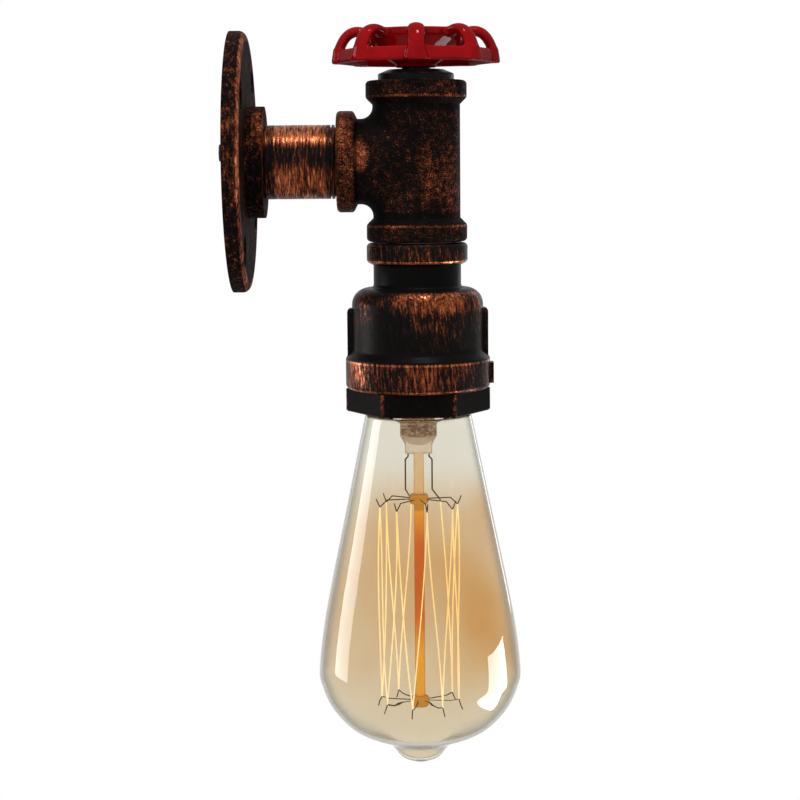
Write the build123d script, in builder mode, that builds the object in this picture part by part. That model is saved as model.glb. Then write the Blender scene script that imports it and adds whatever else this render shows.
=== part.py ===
from build123d import *
from math import cos, pi, radians, sin, sqrt
import os

# Wall light made of threaded pipe fittings: a round wall flange, a short horizontal
# nipple, a tee with a red handwheel on top, and below it a reducing socket and a hex
# bushing that hold a screw lampholder and a teardrop filament bulb.
#
# Frame: origin in the centre of the flange's back face, on the wall. +X points out
# from the wall along the nipple, +Z points up. All sizes are in millimetres.

# ---------------------------------------------------------------- driving dimensions

# Where the vertical run stands
wall_to_run = 56.8          # wall to the tee's vertical axis
fitting_gap = 0.4           # shadow line between the tee and the reducing socket

# Fits
thread_gap = 0.05           # radial gap drawn between two threaded pieces
run_gap = 0.05              # radial running gap of the wheel's spindle
side_gap = 0.1              # axial gap between pieces that turn on each other
free_gap = 0.35             # gap between curved pieces that move past each other
found_within = 0.01         # how near an edge must lie to be the one looked for

# Half-inch pipe thread, drawn as plain cylinders on the thread's outer size
pipe_thread_d = 20.9
pipe_thread_len = 9.2
pipe_bore_d = 15.0

# Wall flange
flange_d = 80.0
flange_t = 5.0
flange_rim_r = 2.2
boss_d = 34.2
boss_reach = 10.1           # boss face, measured from the wall
boss_rim_r = 1.4
boss_root_r = 1.6
screw_circle_d = 66.0
screw_count = 4
screw_turn = 53.0           # first screw hole, from +Y towards +Z
screw_hole_d = 5.0
screw_sink_d = 9.4

# Horizontal nipple
nipple_d = 22.7
groove_w = 0.6              # thread run-out left open at each shoulder
groove_d = 21.3
nipple_ring_w = 0.8         # thin collar between the barrel and the tee
nipple_ring_gap = 0.5

# Tee
tee_reach = 24.6            # axis to each of the three mouths
tee_run_d = 27.0
tee_neck_d = 26.2
tee_bore_d = 18.0
tee_bead_d = 31.1
tee_bead_w = 5.2
bead_rim_r = 1.3
tee_blend_r = 3.6
bead_slope_share = 0.5      # slope behind a bead, as a share of the bead's height
seam_w = 1.0                # casting seam on the run and its beads
seam_h = 0.35
seam_end_room = 0.5         # left plain between a seam and the beads

# Plug that closes the tee and guides the spindle
plug_d = 23.4
plug_h = 3.3
plug_slope_w = 3.2
plug_slope_h = 1.3

# Handwheel, measured up from the skirt's lower edge
wheel_lift = 1.8            # plug's top to the skirt's lower edge
wheel_sides = 8
skirt_corner_r = 25.4
skirt_top_corner_r = 24.6
skirt_h = 4.3
skirt_t = 2.0
skirt_edge_r = 0.6
arch_t = 3.2
arch_w = 5.2
arch_line = (               # middle line of an arch: radius and height, from its outer foot inwards
    (24.3, 0.0),
    (23.8, 3.1),
    (22.5, 6.4),
    (20.7, 8.7),
    (18.4, 9.7),
    (16.0, 9.4),
    (14.4, 8.4),
)
arch_end_slope = 0.9        # how steeply the line comes down at its inner end
crown_r = 15.1              # ring that joins the inner feet of the arches
crown_h = 10.4
crown_t = 1.7
bowl_t = 1.8
bowl_mid_out = 0.8          # how far the bowl's middle stands outside its chord
bowl_mid_share = 0.38       # height of that middle, as a share of the crown's
hub_d = 12.6
hub_floor_h = 3.1           # floor of the bowl, where the nut sits

# Spindle, its washers, nut and clip
spindle_d = 6.0
spindle_square = 4.2
spindle_stud_d = 4.0
spindle_tail = 3.4          # length below the plug
thrust_washer_d = 8.6
thrust_washer_t = 0.5
clip_d = 9.6
clip_t = 0.8
clip_groove_d = 4.6
clip_mouth_w = 4.0
lock_washer_d = 7.6
lock_washer_t = 0.8
nut_flats = 7.0
nut_h = 3.2
stud_proud = 1.2

# Reducing socket
bell_bead_d = 31.3
bell_bead_w = 5.8
bell_neck_d = 27.2
bell_body_d = 40.8
bell_shoulder_share = 0.76  # shoulder's radius, as a share of the step from neck to body
bell_hollow_share = 0.18    # radius of the hollow where the neck meets the shoulder
bell_len = 45.3
bell_body_len = 31.4        # shoulder's top to the lower end
big_bead_h = 2.1            # bead over the body
big_bead_w = 9.6
big_bead_rim_r = 1.6
flare_len = 2.6
rib_h = 1.5                 # ribs over the body
rib_w = 4.6
rib_top_rise = 25.1         # lower end to the ribs' upper ends
rib_top_r = 1.2
lug_h = 1.1                 # lug over the bead
lug_w = 5.0
bell_throat_d = 19.6
chamber_d = 30.0            # room over the lampholder for its terminals
seat_rise = 22.5            # lower end to the ledge that the lampholder seats on
chamber_h = 6.2             # that ledge to the chamber's ceiling
big_thread_d = 33.3

# Hex bushing
hex_flats = 39.0
hex_h = 7.2
hex_edge = 0.5
bushing_bore_d = 30.8
lip_bore_d = 28.8           # lip that holds the insulating sleeve up
lip_t = 0.8
lip_drop = 5.4              # big bead's lower edge to the lip
bushing_mouth_d = 31.0

# Lampholder
earth_ring_d = 32.6
earth_ring_bore_d = 27.8
earth_ring_t = 0.6
earth_tab_w = 3.0
earth_tab_h = 3.6
earth_leaf_len = 8.0
base_rim_t = 4.0
base_boss_d = 26.8
base_boss_h = 2.4           # boss above the rim
contact_slot_depth = 3.0
strip_w = 5.0
strip_t = 0.5
strip_room = 0.7            # slot round the contact strip
tongue_d = 5.0
terminal_w = 5.0
terminal_h = 3.5
terminal_offset = 8.0       # terminal's centre from the lamp axis
terminal_pin_d = 2.4
pinch_screw_d = 2.5
pinch_screw_len = 1.3
pinch_screw_h = 2.0         # over the base's boss
terminal_edge = 0.4
wire_hole_depth = 2.2
base_edge_r = 0.6
rivet_d = 2.2
rivet_head_d = 3.6
rivet_head_t = 0.7
rivet_offset = 11.5
lamp_thread_pitch = 3.629   # lamp cap and holder thread of 27 mm
lamp_thread_d = 26.2
lamp_thread_depth = 1.0
shell_t = 0.35
shell_flange_bore_d = 13.2
shell_collar = 3.2          # plain part above the shell's thread
shell_turns = 5
sleeve_gap = 0.1
sleeve_t = 0.4

# Bulb, teardrop of 64 by 140, its drops measured down from the contact tip
tip_gap = 0.05              # left between the bulb's tip and the holder's contact
bulb_d = 64.0
bulb_len = 140.0
contact_d = 9.4
contact_h = 1.5
vitrite_top_d = 10.4
vitrite_d = 23.0
vitrite_h = 5.0
vitrite_seat = 1.4          # vitrite held inside the cap
cap_drop = 26.4             # cap's lower edge
cap_t = 0.3
cap_turns = 4
cap_thread_drop = 8.4
cap_shoulder = 0.8
cap_skirt_d = 26.0
glass_t = 0.9
neck_top_drop = 24.8
neck_fit_d = 24.8           # glass inside the cap
neck_drop = 27.0            # glass shoulder's flat
neck_d = 33.8               # glass just below the bushing
neck_round_r = 1.9
bulb_outline = (            # radius, and drop from the tip, from the cone to the pip
    (23.0, 58.2),
    (29.65, 90.4),
    (bulb_d / 2, 108.2),
    (31.4, 113.4),
    (28.8, 119.9),
    (24.0, 126.0),
    (19.0, 129.6),
    (11.8, 133.0),
    (8.4, 135.4),
    (5.4, 138.3),
)
cone_slope = 0.2            # how fast the cone widens at its top

# Inside the bulb
flare_d = 11.6
flare_wall = 1.0
flare_hollow = 1.0          # how far the flare curves in from a straight cone
flare_drop = 30.5
press_w = 8.6
press_t = 3.2
press_drop = 34.5
press_len = 5.6
rod_d = 3.2
button_d = 6.0
button_h = 3.4
button_rim_r = 1.0
upper_button_drop = 54.6    # middle of the upper button
lower_button_rise = 20.1    # glass tip to the middle of the lower button
lead_d = 0.5
lead_offset = 3.3           # where a lead wire leaves the pressed glass
lead_hang = 4.2             # where it hangs, after its small kink
lead_kink_drop = 1.0        # pressed glass to the kink, and the kink's own height
lead_bend_rise = 3.0        # over the upper arms, where it turns out to the filament's end
hook_d = 0.36
cage_sides = 8              # eyes at the top; the gap between the last and the first is at the back
hook_turn = 101.0           # first eye, from +X towards +Y
hook_elbow = 10.2           # distances from the bulb's axis
hook_eye = 12.5
hook_tip = 13.7
upper_eye_drop = 2.2        # from an upper arm down to the eye that carries the filament
upper_tip_rise = 2.7        # from that eye up to the tip
lower_eye_rise = 0.7        # from a lower arm up to its eye
lower_tip_drop = 2.9        # from that eye down to the tip
hook_set = 0.3              # hook's end melted into the button
filament_d = 0.32

# Cores and their sleeve
core_d = 2.0
core_gap = 0.05
core_bend_r = 12.0
core_level = 1.2            # upper core over the sleeve's axis, twice the lower ones
core_straight_drop = 22.0   # pipe axis to where the cores spread
core_turn_rise = 4.5        # terminals' tops to where the cores turn down to them
core_end_gap = 0.05
sleeve_d = 5.2
sleeve_bore_d = 4.5
sleeve_rise = 3.0           # supply sleeve's axis above the pipe's axis
sleeve_out = 4.0            # stretch behind the wall's face
sleeve_in = 24.0            # stretch inside the pipe

# ---------------------------------------------------------------- derived places

run_z_top = tee_reach
mouth_x = wall_to_run - tee_reach
bell_z = -tee_reach - fitting_gap
bell_end_z = bell_z - bell_len
seat_z = bell_end_z + seat_rise
base_top_z = seat_z - earth_ring_t
base_under_z = base_top_z - base_rim_t
hex_end_z = bell_end_z - hex_h
plug_top_z = run_z_top + plug_h
plug_end_z = run_z_top - pipe_thread_len
wheel_z = plug_top_z + wheel_lift
hub_drop = wheel_lift - side_gap - thrust_washer_t
hub_z = wheel_z - hub_drop
floor_z = wheel_z + hub_floor_h
strip_z = base_under_z + contact_slot_depth
contact_z = strip_z - 3 * strip_t       # lower face of the centre contact's tongue
tip_z = contact_z - tip_gap

RUN = Plane(origin=(wall_to_run, 0, 0), x_dir=(1, 0, 0), z_dir=(0, -1, 0))
RUN_AXIS = Axis((wall_to_run, 0, 0), (0, 0, 1))


def at_run(height):
    """Horizontal plane centred on the vertical run."""
    return Plane((wall_to_run, 0, height))


def outline(*points):
    """Closed face through the points, in the sketch that is open."""
    with BuildLine() as edge_line:
        Polyline(*points, close=True)
    make_face(edge_line.edges())


def corner(half_section, radius, height):
    """Corner of a half section nearest this radius and height."""
    return half_section.vertices().sort_by_distance((radius, height, 0))[0]


def thread_wave(crest_r, top, turns):
    """Rounded lamp thread in section: arcs in and out about its middle radius, from its top."""
    quarter = lamp_thread_pitch / 4
    middle_r = crest_r - lamp_thread_depth / 2
    for step in range(2 * turns):
        swing = lamp_thread_depth / 2 * (-1) ** step
        start = top - 2 * quarter * step
        ThreePointArc(
            (middle_r, start),
            (middle_r - swing, start - quarter),
            (middle_r, start - 2 * quarter),
        )


# ---------------------------------------------------------------- wall flange

with BuildPart() as wall_flange:
    with BuildSketch(Plane.XZ) as flange_half:
        outline(
            (0, pipe_thread_d / 2 + thread_gap),
            (0, flange_d / 2),
            (flange_t, flange_d / 2),
            (flange_t, boss_d / 2),
            (boss_reach, boss_d / 2),
            (boss_reach, pipe_thread_d / 2 + thread_gap),
        )
        rim = flange_half.vertices().group_by(Axis.Y)[-1].sort_by(Axis.X)[-1]
        root = flange_half.vertices().group_by(Axis.Y)[1].sort_by(Axis.X)
        fillet(rim, flange_rim_r)
        fillet(root[0], boss_root_r)
        fillet(root[-1], boss_rim_r)
    revolve(axis=Axis.X)
    with Locations(Plane((flange_t, 0, 0), x_dir=(0, 1, 0), z_dir=(1, 0, 0))):
        with PolarLocations(screw_circle_d / 2, screw_count, start_angle=screw_turn):
            CounterSinkHole(screw_hole_d / 2, screw_sink_d / 2, depth=flange_t)
wall_flange.part.label = "wall_flange"

# ---------------------------------------------------------------- horizontal nipple

barrel_start = boss_reach + groove_w
ring_end = mouth_x - groove_w
barrel_end = ring_end - nipple_ring_w - nipple_ring_gap
thread_start = boss_reach - pipe_thread_len
thread_end = mouth_x + pipe_thread_len

with BuildPart() as pipe_nipple:
    with BuildSketch(Plane.XZ):
        outline(
            (thread_start, pipe_bore_d / 2),
            (thread_start, pipe_thread_d / 2),
            (boss_reach, pipe_thread_d / 2),
            (barrel_start, groove_d / 2),
            (barrel_start, nipple_d / 2),
            (barrel_end, nipple_d / 2),
            (barrel_end, groove_d / 2),
            (barrel_end + nipple_ring_gap, groove_d / 2),
            (barrel_end + nipple_ring_gap, nipple_d / 2),
            (ring_end, nipple_d / 2),
            (ring_end, groove_d / 2),
            (mouth_x, pipe_thread_d / 2),
            (thread_end, pipe_thread_d / 2),
            (thread_end, pipe_bore_d / 2),
        )
    revolve(axis=Axis.X)
pipe_nipple.part.label = "pipe_nipple"

# ---------------------------------------------------------------- tee


with BuildPart() as tee_fitting:
    with BuildSketch(at_run(-tee_reach)):
        Circle(tee_run_d / 2)
    extrude(amount=2 * tee_reach)
    with BuildSketch(Plane((mouth_x, 0, 0), x_dir=(0, 1, 0), z_dir=(1, 0, 0))):
        Circle(tee_neck_d / 2)
    extrude(amount=tee_reach)
    saddle = [
        e for e in tee_fitting.edges()
        if e.geom_type not in (GeomType.CIRCLE, GeomType.LINE)
    ]
    fillet(saddle, tee_blend_r)
    for end in (1, -1):
        bead_in = end * (tee_reach - tee_bead_w)
        slope_in = bead_in - end * (tee_bead_d - tee_run_d) * bead_slope_share
        with BuildSketch(RUN) as run_bead:
            outline(
                (0, end * tee_reach),
                (tee_bead_d / 2, end * tee_reach),
                (tee_bead_d / 2, bead_in),
                (tee_run_d / 2, slope_in),
                (0, slope_in),
            )
            fillet(run_bead.vertices().group_by(Axis.X)[-1], bead_rim_r)
        revolve(axis=RUN_AXIS)
    with BuildSketch(Plane.XZ) as branch_bead:
        bead_slope = (tee_bead_d - tee_neck_d) / 2 * bead_slope_share
        outline(
            (mouth_x, 0),
            (mouth_x, tee_bead_d / 2),
            (mouth_x + tee_bead_w, tee_bead_d / 2),
            (mouth_x + tee_bead_w + bead_slope, tee_neck_d / 2),
            (mouth_x + tee_bead_w + bead_slope, 0),
        )
        fillet(branch_bead.vertices().group_by(Axis.Y)[-1], bead_rim_r)
    revolve(axis=Axis.X)
    # casting seams, one towards the viewer and one opposite
    with Locations((wall_to_run, 0, 0)):
        Box(seam_w, tee_run_d + 2 * seam_h, 2 * (tee_reach - tee_bead_w - seam_end_room))
    # run bore, branch bore and the three threads
    with BuildSketch(at_run(-tee_reach)):
        Circle(tee_bore_d / 2)
    extrude(amount=2 * tee_reach, mode=Mode.SUBTRACT)
    with BuildSketch(Plane((mouth_x, 0, 0), x_dir=(0, 1, 0), z_dir=(1, 0, 0))):
        Circle(tee_bore_d / 2)
    extrude(amount=tee_reach, mode=Mode.SUBTRACT)
    thread_room = pipe_thread_len + free_gap
    for end in (1, -1):
        with BuildSketch(at_run(end * tee_reach)):
            Circle(pipe_thread_d / 2 + thread_gap)
        extrude(amount=-end * thread_room, mode=Mode.SUBTRACT)
    with BuildSketch(Plane((mouth_x, 0, 0), x_dir=(0, 1, 0), z_dir=(1, 0, 0))):
        Circle(pipe_thread_d / 2 + thread_gap)
    extrude(amount=thread_room, mode=Mode.SUBTRACT)
tee_fitting.part.label = "tee_fitting"

# ---------------------------------------------------------------- plug over the tee

with BuildPart() as top_plug:
    with BuildSketch(RUN) as plug_half:
        outline(
            (spindle_d / 2 + run_gap, plug_end_z),
            (pipe_thread_d / 2, plug_end_z),
            (pipe_thread_d / 2, run_z_top),
            (plug_d / 2, run_z_top),
            (plug_d / 2, plug_top_z - plug_slope_h),
            (plug_d / 2 - plug_slope_w, plug_top_z),
            (spindle_d / 2 + run_gap, plug_top_z),
        )
        fillet(plug_half.vertices().group_by(Axis.Y)[-2], plug_slope_h / 2)
    revolve(axis=RUN_AXIS)
top_plug.part.label = "top_plug"

# ---------------------------------------------------------------- handwheel and spindle

clip_top_z = plug_end_z - side_gap
thrust_z = hub_z - thrust_washer_t

with BuildPart() as wheel_spindle:
    with BuildSketch(RUN):
        outline(
            (0, plug_end_z - spindle_tail),
            (spindle_d / 2, plug_end_z - spindle_tail),
            (spindle_d / 2, clip_top_z - clip_t),
            (clip_groove_d / 2, clip_top_z - clip_t),
            (clip_groove_d / 2, clip_top_z),
            (spindle_d / 2, clip_top_z),
            (spindle_d / 2, hub_z),
            (0, hub_z),
        )
    revolve(axis=RUN_AXIS)
    with BuildSketch(at_run(hub_z)):
        Rectangle(spindle_square, spindle_square)
    extrude(amount=floor_z - hub_z)
    with BuildSketch(at_run(floor_z)):
        Circle(spindle_stud_d / 2)
    extrude(amount=lock_washer_t + nut_h + stud_proud)
wheel_spindle.part.label = "wheel_spindle"

with BuildPart() as spindle_clip:
    with BuildSketch(at_run(clip_top_z - clip_t)):
        Circle(clip_d / 2)
        Circle(clip_groove_d / 2, mode=Mode.SUBTRACT)
        with Locations((0, -clip_d / 4)):
            Rectangle(clip_mouth_w, clip_d / 2, mode=Mode.SUBTRACT)
    extrude(amount=clip_t)
spindle_clip.part.label = "spindle_clip"

with BuildPart() as thrust_washer:
    with BuildSketch(at_run(thrust_z)):
        Circle(thrust_washer_d / 2)
        Circle(spindle_d / 2 + thread_gap, mode=Mode.SUBTRACT)
    extrude(amount=thrust_washer_t)
thrust_washer.part.label = "thrust_washer"

with BuildPart() as wheel_arch:
    with BuildLine(Plane.XZ):
        spine = Spline(*arch_line, tangents=((0, 1), (-1, -arch_end_slope)))
    with BuildSketch(Plane.XY):
        with Locations((arch_line[0][0], 0)):
            Ellipse(arch_t / 2, arch_w / 2)
    sweep(path=spine)

crown_low = crown_h - crown_t
bowl_mid_r = (hub_d / 2 + crown_r) / 2 + bowl_mid_out
bowl_mid_h = crown_low * bowl_mid_share
bowl_run = crown_r - hub_d / 2
bowl_in = bowl_t / sqrt(bowl_run ** 2 + crown_low ** 2)

with BuildPart() as handwheel:
    for inset, way in ((0, Mode.ADD), (skirt_t, Mode.SUBTRACT)):
        with BuildSketch(at_run(wheel_z)):
            RegularPolygon(skirt_corner_r - inset, wheel_sides)
        with BuildSketch(at_run(wheel_z + skirt_h)):
            RegularPolygon(skirt_top_corner_r - inset, wheel_sides)
        loft(mode=way)
    fillet(handwheel.edges().group_by(Axis.Z)[0] + handwheel.edges().group_by(Axis.Z)[-1],
           skirt_edge_r)
    with BuildSketch(Plane(RUN.origin + (0, 0, wheel_z), x_dir=RUN.x_dir, z_dir=RUN.z_dir)):
        with BuildLine():
            Polyline((0, -hub_drop), (hub_d / 2, -hub_drop), (hub_d / 2, 0))
            ThreePointArc((hub_d / 2, 0), (bowl_mid_r, bowl_mid_h), (crown_r, crown_low))
            Polyline(
                (crown_r, crown_low),
                (crown_r, crown_h),
                (crown_r - bowl_t, crown_h),
                (crown_r - bowl_t, crown_low),
            )
            ThreePointArc(
                (crown_r - bowl_t, crown_low),
                (bowl_mid_r - bowl_in * crown_low, bowl_mid_h + bowl_in * bowl_run),
                (hub_d / 2, hub_floor_h),
            )
            Polyline((hub_d / 2, hub_floor_h), (0, hub_floor_h), (0, -hub_drop))
        make_face()
    revolve(axis=RUN_AXIS)
    with Locations((wall_to_run, 0, wheel_z)):
        with PolarLocations(0, wheel_sides):
            add(wheel_arch.part)
    with BuildSketch(at_run(hub_z)):
        Rectangle(spindle_square + 2 * thread_gap, spindle_square + 2 * thread_gap)
    extrude(amount=hub_floor_h + hub_drop, mode=Mode.SUBTRACT)
handwheel.part.label = "handwheel"

with BuildPart() as lock_washer:
    with BuildSketch(at_run(floor_z)):
        Circle(lock_washer_d / 2)
        Circle(spindle_stud_d / 2 + thread_gap, mode=Mode.SUBTRACT)
    extrude(amount=lock_washer_t)
lock_washer.part.label = "lock_washer"

with BuildPart() as wheel_nut:
    with BuildSketch(at_run(floor_z + lock_washer_t)):
        RegularPolygon(nut_flats / 2, 6, major_radius=False)
        Circle(spindle_stud_d / 2 + thread_gap, mode=Mode.SUBTRACT)
    extrude(amount=nut_h)
wheel_nut.part.label = "wheel_nut"

# ---------------------------------------------------------------- nipple under the tee

close_top_z = -tee_reach + pipe_thread_len
close_end_z = bell_z - pipe_thread_len

with BuildPart() as close_nipple:
    with BuildSketch(at_run(close_end_z)):
        Circle(pipe_thread_d / 2)
        Circle(pipe_bore_d / 2, mode=Mode.SUBTRACT)
    extrude(amount=close_top_z - close_end_z)
close_nipple.part.label = "close_nipple"

# ---------------------------------------------------------------- reducing socket

shoulder_z = bell_end_z + bell_body_len
rib_top_z = bell_end_z + rib_top_rise
rib_r = bell_body_d / 2 + rib_h
big_bead_d = bell_body_d + 2 * big_bead_h
lug_r = big_bead_d / 2 + lug_h
bell_step = (bell_body_d - bell_neck_d) / 2
big_bead_z = bell_end_z + big_bead_w
bead_slope = (bell_bead_d - bell_neck_d) / 2 * bead_slope_share

with BuildPart() as reducing_socket:
    with BuildSketch(RUN) as bell_half:
        outline(
            (0, bell_z),
            (bell_bead_d / 2, bell_z),
            (bell_bead_d / 2, bell_z - bell_bead_w),
            (bell_neck_d / 2, bell_z - bell_bead_w - bead_slope),
            (bell_neck_d / 2, shoulder_z),
            (bell_body_d / 2, shoulder_z),
            (bell_body_d / 2, big_bead_z + flare_len),
            (big_bead_d / 2, big_bead_z),
            (big_bead_d / 2, bell_end_z),
            (0, bell_end_z),
        )
        fillet(corner(bell_half, bell_body_d / 2, shoulder_z), bell_step * bell_shoulder_share)
        fillet(corner(bell_half, bell_neck_d / 2, shoulder_z), bell_step * bell_hollow_share)
        fillet(corner(bell_half, bell_bead_d / 2, bell_z), bead_rim_r)
        fillet(corner(bell_half, bell_bead_d / 2, bell_z - bell_bead_w), bead_rim_r)
        fillet(corner(bell_half, bell_body_d / 2, big_bead_z + flare_len), flare_len)
        fillet(corner(bell_half, big_bead_d / 2, big_bead_z), big_bead_rim_r)
        fillet(corner(bell_half, big_bead_d / 2, bell_end_z), big_bead_rim_r)
    revolve(axis=RUN_AXIS)
    # casting ribs on both sides, and the lug on the bead's outer side
    with BuildSketch(at_run(big_bead_z)):
        Rectangle(2 * rib_r, rib_w)
    extrude(amount=rib_top_z - big_bead_z)
    rib_tops = reducing_socket.edges().filter_by(
        lambda e: abs(e.center().Z - rib_top_z) < found_within
        and abs(e.center().X - wall_to_run) > rib_r - found_within
    )
    fillet(rib_tops, rib_top_r)
    with BuildSketch(at_run(bell_end_z + big_bead_rim_r)):
        with Locations((lug_r - big_bead_rim_r, 0)):
            Rectangle(2 * big_bead_rim_r, lug_w)
    extrude(amount=big_bead_w - 2 * big_bead_rim_r)
    # inside: thread, throat, terminal chamber, lampholder seat and big thread
    with BuildSketch(RUN):
        outline(
            (0, bell_z),
            (pipe_thread_d / 2 + thread_gap, bell_z),
            (pipe_thread_d / 2 + thread_gap, close_end_z - free_gap),
            (bell_throat_d / 2, close_end_z - free_gap),
            (bell_throat_d / 2, seat_z + chamber_h),
            (chamber_d / 2, seat_z + chamber_h),
            (chamber_d / 2, seat_z),
            (big_thread_d / 2 + thread_gap, seat_z),
            (big_thread_d / 2 + thread_gap, bell_end_z),
            (0, bell_end_z),
        )
    revolve(axis=RUN_AXIS, mode=Mode.SUBTRACT)
reducing_socket.part.label = "reducing_socket"

# ---------------------------------------------------------------- hex bushing

lip_top_z = bell_end_z - lip_drop

with BuildPart() as hex_bushing:
    with BuildSketch(at_run(hex_end_z)):
        RegularPolygon(hex_flats / 2, 6, major_radius=False)
    extrude(amount=hex_h)
    chamfer(hex_bushing.faces().sort_by(Axis.Z)[0].edges(), hex_edge)
    with BuildSketch(at_run(bell_end_z)):
        Circle(big_thread_d / 2)
    extrude(amount=base_under_z - bell_end_z)
    with BuildSketch(RUN):
        outline(
            (0, base_under_z),
            (bushing_bore_d / 2, base_under_z),
            (bushing_bore_d / 2, lip_top_z),
            (lip_bore_d / 2, lip_top_z),
            (lip_bore_d / 2, lip_top_z - lip_t),
            (bushing_mouth_d / 2, hex_end_z),
            (0, hex_end_z),
        )
    revolve(axis=RUN_AXIS, mode=Mode.SUBTRACT)
hex_bushing.part.label = "hex_bushing"

# ---------------------------------------------------------------- lampholder

boss_top_z = base_top_z + base_boss_h
terminal_top_z = boss_top_z + terminal_h
leaf_z = base_top_z + earth_ring_t + earth_tab_h
terminal_spots = GridLocations(0, 2 * terminal_offset, 1, 2)
rivet_spots = GridLocations(2 * rivet_offset, 0, 2, 1)

with BuildPart() as earth_ring:
    with BuildSketch(at_run(base_top_z)):
        Circle(earth_ring_d / 2)
        Circle(earth_ring_bore_d / 2, mode=Mode.SUBTRACT)
    extrude(amount=earth_ring_t)
    # tab bent up from the ring, and its leaf bent in, where the core is soldered
    with BuildSketch(RUN):
        outline(
            (earth_ring_bore_d / 2 + earth_ring_t, base_top_z),
            (earth_ring_bore_d / 2 + earth_ring_t, leaf_z),
            (earth_ring_bore_d / 2 - earth_leaf_len, leaf_z),
            (earth_ring_bore_d / 2 - earth_leaf_len, leaf_z - earth_ring_t),
            (earth_ring_bore_d / 2, leaf_z - earth_ring_t),
            (earth_ring_bore_d / 2, base_top_z),
        )
    extrude(amount=earth_tab_w / 2, both=True)
earth_ring.part.label = "earth_ring"

with BuildPart() as lampholder_base:
    with BuildSketch(RUN) as base_half:
        outline(
            (0, boss_top_z),
            (base_boss_d / 2, boss_top_z),
            (base_boss_d / 2, base_top_z),
            (earth_ring_d / 2, base_top_z),
            (earth_ring_d / 2, base_under_z),
            (0, base_under_z),
        )
        fillet(base_half.vertices().group_by(Axis.Y)[-1].sort_by(Axis.X)[-1], base_edge_r)
    revolve(axis=RUN_AXIS)
    with BuildSketch(at_run(base_under_z)):
        with Locations((0, -terminal_offset / 2)):
            SlotCenterToCenter(terminal_offset, strip_w + 2 * strip_room, rotation=90)
        Circle(vitrite_top_d / 2 + free_gap)
    extrude(amount=contact_slot_depth, mode=Mode.SUBTRACT)
    with BuildSketch(at_run(base_under_z)):
        with terminal_spots:
            Circle(terminal_pin_d / 2)
        with rivet_spots:
            Circle(rivet_d / 2)
    extrude(amount=boss_top_z - base_under_z, mode=Mode.SUBTRACT)
lampholder_base.part.label = "lampholder_base"

with BuildPart() as centre_contact:
    with BuildSketch(at_run(strip_z - strip_t)):
        with Locations((0, -terminal_offset / 2)):
            SlotCenterToCenter(terminal_offset, strip_w, rotation=90)
        with Locations((0, -terminal_offset)):
            Circle(terminal_pin_d / 2, mode=Mode.SUBTRACT)
    extrude(amount=strip_t)
    with BuildSketch(at_run(contact_z)):
        Circle(tongue_d / 2)
    extrude(amount=strip_z - strip_t - contact_z)
centre_contact.part.label = "centre_contact"


def terminal_face(side):
    """Outer face of a terminal, at its pinch screw."""
    return Plane((wall_to_run, side * (terminal_offset + terminal_w / 2), boss_top_z + pinch_screw_h),
                 x_dir=(1, 0, 0), z_dir=(0, side, 0))


def terminal(side, pin_end_z):
    """Brass pillar terminal with its riveted pin, a wire hole and a pinch screw hole."""
    with BuildPart() as pillar:
        with BuildSketch(at_run(boss_top_z)):
            with Locations((0, side * terminal_offset)):
                Rectangle(terminal_w, terminal_w)
        extrude(amount=terminal_h)
        chamfer(pillar.edges().group_by(Axis.Z)[-1], terminal_edge)
        with BuildSketch(at_run(pin_end_z)):
            with Locations((0, side * terminal_offset)):
                Circle(terminal_pin_d / 2 - thread_gap)
        extrude(amount=boss_top_z - pin_end_z)
        with BuildSketch(at_run(terminal_top_z)):
            with Locations((0, side * terminal_offset)):
                Circle(core_d / 2 + core_gap)
        extrude(amount=-wire_hole_depth, mode=Mode.SUBTRACT)
        with BuildSketch(terminal_face(side)):
            Circle(pinch_screw_d / 2)
        extrude(amount=-(terminal_w - core_d) / 2, mode=Mode.SUBTRACT)
    return pillar


live_terminal = terminal(-1, strip_z - strip_t)
live_terminal.part.label = "live_terminal"
neutral_terminal = terminal(1, base_under_z - shell_t)
neutral_terminal.part.label = "neutral_terminal"

shell_top_z = base_under_z
thread_top_z = shell_top_z - shell_collar
shell_crest_r = lamp_thread_d / 2 + free_gap
shell_root_r = shell_crest_r + lamp_thread_depth
shell_end_z = thread_top_z - lamp_thread_pitch * shell_turns

shell_mid_r = shell_root_r - lamp_thread_depth / 2

with BuildPart() as screw_shell:
    with BuildSketch(RUN):
        with BuildLine():
            for inset in (0, shell_t):
                Polyline(
                    (shell_flange_bore_d / 2, shell_top_z - inset),
                    (shell_root_r + shell_t - inset, shell_top_z - inset),
                    (shell_root_r + shell_t - inset, thread_top_z + shell_t),
                    (shell_mid_r + shell_t - inset, thread_top_z),
                )
                thread_wave(shell_root_r + shell_t - inset, thread_top_z, shell_turns)
            Line((shell_flange_bore_d / 2, shell_top_z), (shell_flange_bore_d / 2, shell_top_z - shell_t))
            Line((shell_mid_r, shell_end_z), (shell_mid_r + shell_t, shell_end_z))
        make_face()
    revolve(axis=RUN_AXIS)
    with BuildSketch(at_run(shell_top_z - shell_t)):
        with Locations((0, terminal_offset)):
            Circle(terminal_pin_d / 2)
        with rivet_spots:
            Circle(rivet_d / 2)
    extrude(amount=shell_t, mode=Mode.SUBTRACT)
screw_shell.part.label = "screw_shell"

with BuildPart() as shell_rivets:
    with BuildSketch(at_run(base_under_z - shell_t)):
        with rivet_spots:
            Circle(rivet_d / 2 - thread_gap)
    extrude(amount=boss_top_z - base_under_z + shell_t)
    for head_z in (boss_top_z, base_under_z - shell_t - rivet_head_t):
        with BuildSketch(at_run(head_z)):
            with rivet_spots:
                Circle(rivet_head_d / 2)
        extrude(amount=rivet_head_t)
shell_rivets.part.label = "shell_rivets"

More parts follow.
